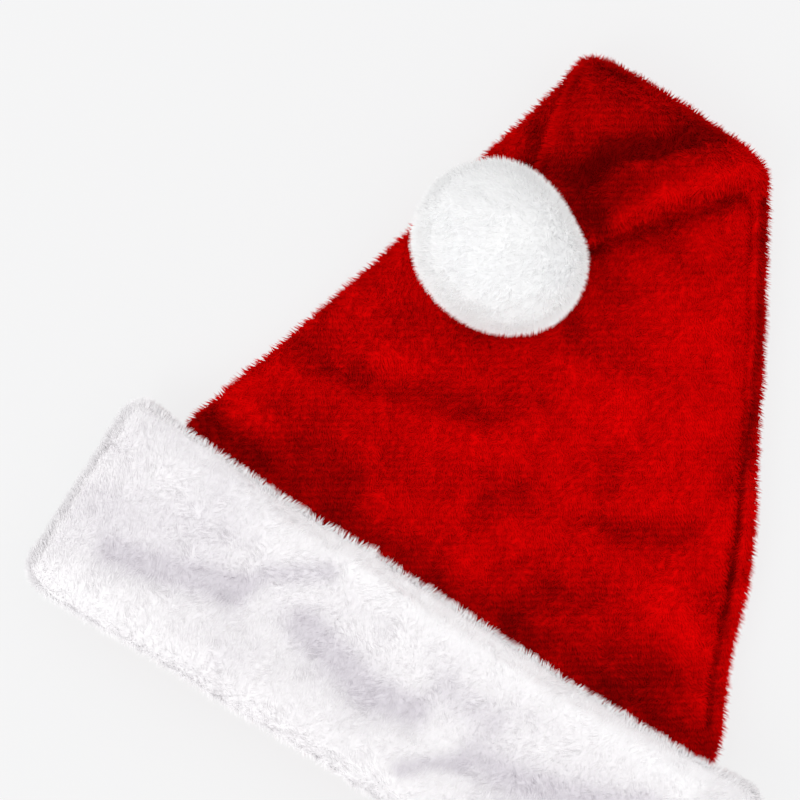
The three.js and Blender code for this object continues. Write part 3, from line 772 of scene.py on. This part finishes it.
# %% The cuff's pile
CUFF_COMB = (0.1, 0.8, 0.0)
CUFF_CLUMPS = ((18 * MM, 2.5), (5 * MM, 2.0))
for side, seed in (("first", 31), ("second", 32)):
    grown = pile(
        f"cuff_pile_{side}", cuff_band, tuft, count=30000, length=1.9 * MM, width=0.65 * MM, lean=1.15,
        comb=CUFF_COMB, clump=CUFF_CLUMPS, seed=seed,
    )
    dress(grown, white_plush)
grown = pile(
    "cuff_fringe", cuff_band, tuft, count=13500, length=3.8 * MM, width=0.5 * MM, lean=0.55,
    comb=CUFF_COMB, clump=CUFF_CLUMPS, seed=33, weight="fringe",
)
dress(grown, white_plush)

# %% [markdown]
# The pompom is a ball of the same fur, sewn on the end of the peak. It lies turned a little, and it is
# not quite round.

# %% The pompom
POMPOM_INSET = Vector((0.9 * MM, 0.9 * MM, 0.9 * MM))
POMPOM_TURN = math.radians(14)
POMPOM_SHIFT = Vector((-0.2 * MM, 1.1 * MM, 0))
# Each row: the way out from the pompom's middle, how far out, the reach and the depth
POMPOM_DENTS = (
    ((0.54, 0.84, 0.0), 34, 15, 2.6),
    ((-0.53, 0.85, 0.0), 36, 20, -1.6),
)
# One soft shade at the upper right, in the same columns as the other strokes
POMPOM_STROKES = (
    (((-72, 108), (-56, 96)), 8, -0.15, 0.0),
)

pompom_core = soft_copy("pompom", "pompom_core")
swell(pompom_core, voxel=3.5 * MM, pressure=2.0, cap=1.0 * MM, smoothing=6)
rounded(pompom_core, levels=1)
fit_box(pompom_core, POMPOM_LOW + POMPOM_INSET, POMPOM_HIGH - POMPOM_INSET)
middle = (POMPOM_LOW + POMPOM_HIGH) / 2
turn = Matrix.Rotation(POMPOM_TURN, 4, "Z")
pompom_core.data.transform(Matrix.Translation(middle + POMPOM_SHIFT) @ turn @ Matrix.Translation(-middle))
press(pompom_core, middle, POMPOM_DENTS)
keep_clear(pompom_core, "pompom", "crown")
open_air(pompom_core, SKY, lambda place, normal: 1.0)
# rim paints the pompom's steep sides lighter: painted light
stroke(pompom_core, POMPOM_STROKES, rim_light=0.42)
pompom_core.data.materials.append(white_fur)
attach(pompom_core, "root")
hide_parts("pompom")

# %% The pompom's pile
POMPOM_COMB = (-0.6, -0.7, -0.3)
POMPOM_CLUMPS = ((14 * MM, 2.0), (4 * MM, 2.0))
grown = pile(
    "pompom_pile", pompom_core, tuft, count=25000, length=2.1 * MM, width=0.5 * MM, lean=1.1,
    comb=POMPOM_COMB, clump=POMPOM_CLUMPS, seed=51,
)
dress(grown, white_fur)
grown = pile(
    "pompom_fringe", pompom_core, tuft, count=9000, length=3.2 * MM, width=0.45 * MM, lean=0.4,
    comb=POMPOM_COMB, clump=POMPOM_CLUMPS, seed=52, weight="fringe",
)
dress(grown, white_fur)

bpy.data.objects.remove(tuft)

# %% [markdown]
# The last cell counts the triangles of the pieces that are shown.

# %% Triangles shown
pieces = [piece for piece in bpy.data.objects if piece.type == "MESH" and not piece.hide_render]
print(sum(len(face.vertices) - 2 for piece in pieces for face in piece.data.polygons), "triangles shown")
